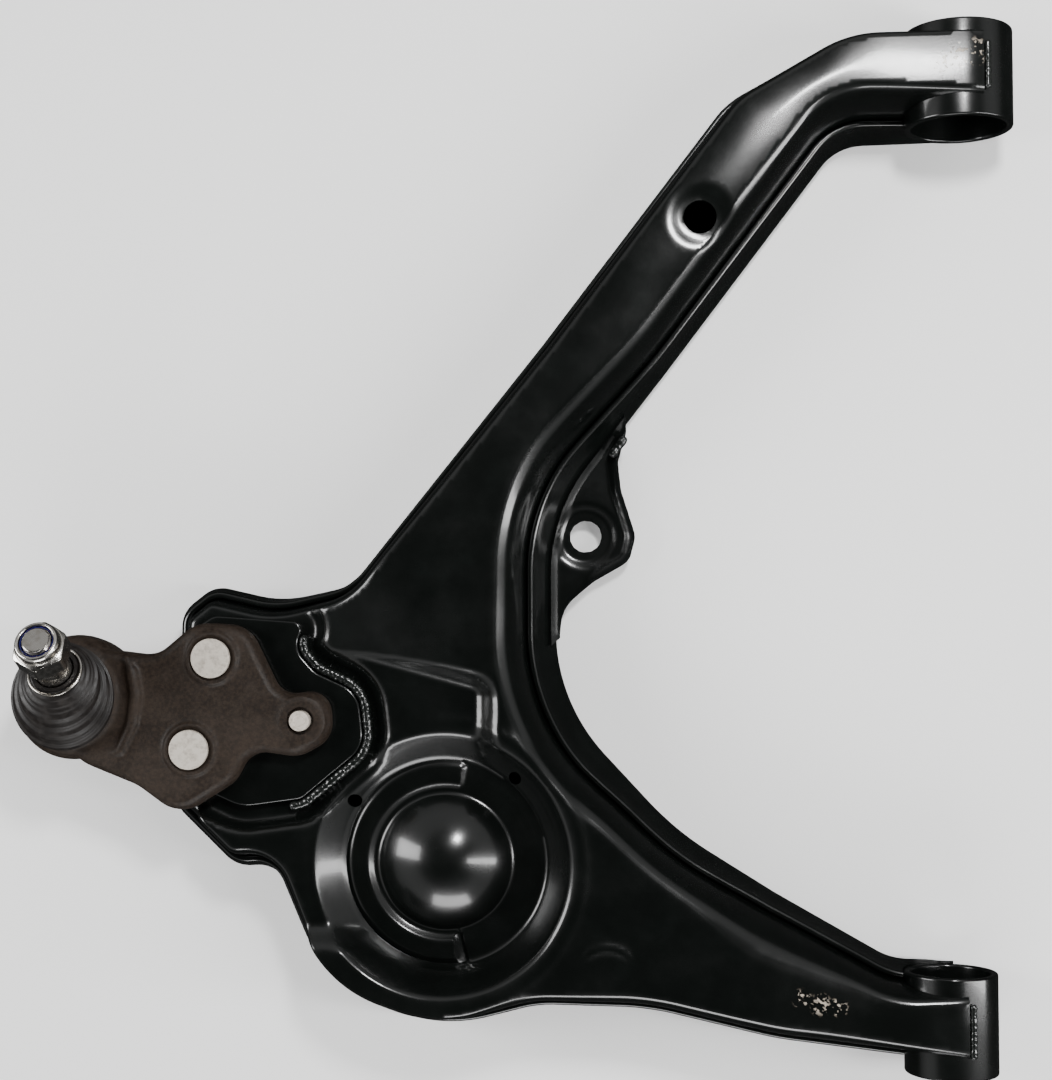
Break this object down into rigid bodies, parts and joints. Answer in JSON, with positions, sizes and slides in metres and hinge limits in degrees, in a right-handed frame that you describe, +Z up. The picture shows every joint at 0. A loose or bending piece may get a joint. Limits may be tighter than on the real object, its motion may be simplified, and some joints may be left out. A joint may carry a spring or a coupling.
{
  "type": "control arm",
  "caption": "Lower suspension control arm of welded pressed shells with a spring pan, two empty bush sleeves, a link tab and a riveted ball joint.",
  "frame": {"origin": "middle of the part's bounding box, on its underside", "axes": "+Z up, on the side of the ball stud and the spring pan; +Y towards the front bush along the sleeves; +X from the ball joint to the sleeves"},
  "size_m": [0.461, 0.4736, 0.0984],
  "materials": {
    "black_paint": "gloss",
    "painted_weld": "satin",
    "forged_steel": "rough",
    "bright_steel": "polished",
    "zinc_plate": "bright zinc",
    "cream_zinc": "dull",
    "boot_rubber": "matte",
    "nylon_blue": "matte",
    "nylon_white": "matte"
  },
  "bodies": {
    "arm": {"upper_shell": "black_paint", "lower_shell": "black_paint", "link_tab": "black_paint", "front_bush_sleeve": "black_paint", "rear_bush_sleeve": "black_paint", "ball_joint_seat_plate": "black_paint", "seat_plate_weld": "painted_weld", "link_tab_weld": "painted_weld", "front_sleeve_weld": "painted_weld", "rear_sleeve_weld": "painted_weld", "ball_joint_housing": "forged_steel", "housing_cap": "forged_steel", "rivet_front": "cream_zinc", "rivet_rear": "cream_zinc", "rivet_ear": "cream_zinc", "boot_lower_ring": "bright_steel"},
    "bearing": {"ball_seat": "nylon_white", "dust_boot": "boot_rubber"},
    "swing": {"boot_upper_ring": "bright_steel"},
    "stud": {"ball_stud": "bright_steel", "lock_nut": "zinc_plate", "nut_nylon_insert": "nylon_blue"}
  },
  "joints": [
    {"name": "ball_direction", "type": "hinge", "parent": "arm", "child": "bearing", "pos_m": [-0.2015, -0.07151, 0.0453], "axis": [0, 0, 1], "continuous": true},
    {"name": "ball_tilt", "type": "hinge", "parent": "bearing", "child": "swing", "pos_m": [-0.2015, -0.07151, 0.0453], "axis": [-0.9994, 0.0349, 0], "range_deg": [-58, 2], "deforming": ["dust_boot"]},
    {"name": "stud_spin", "type": "hinge", "parent": "swing", "child": "stud", "pos_m": [-0.2015, -0.07151, 0.0453], "axis": [0.0164, 0.4692, 0.8829], "continuous": true}
  ]
}
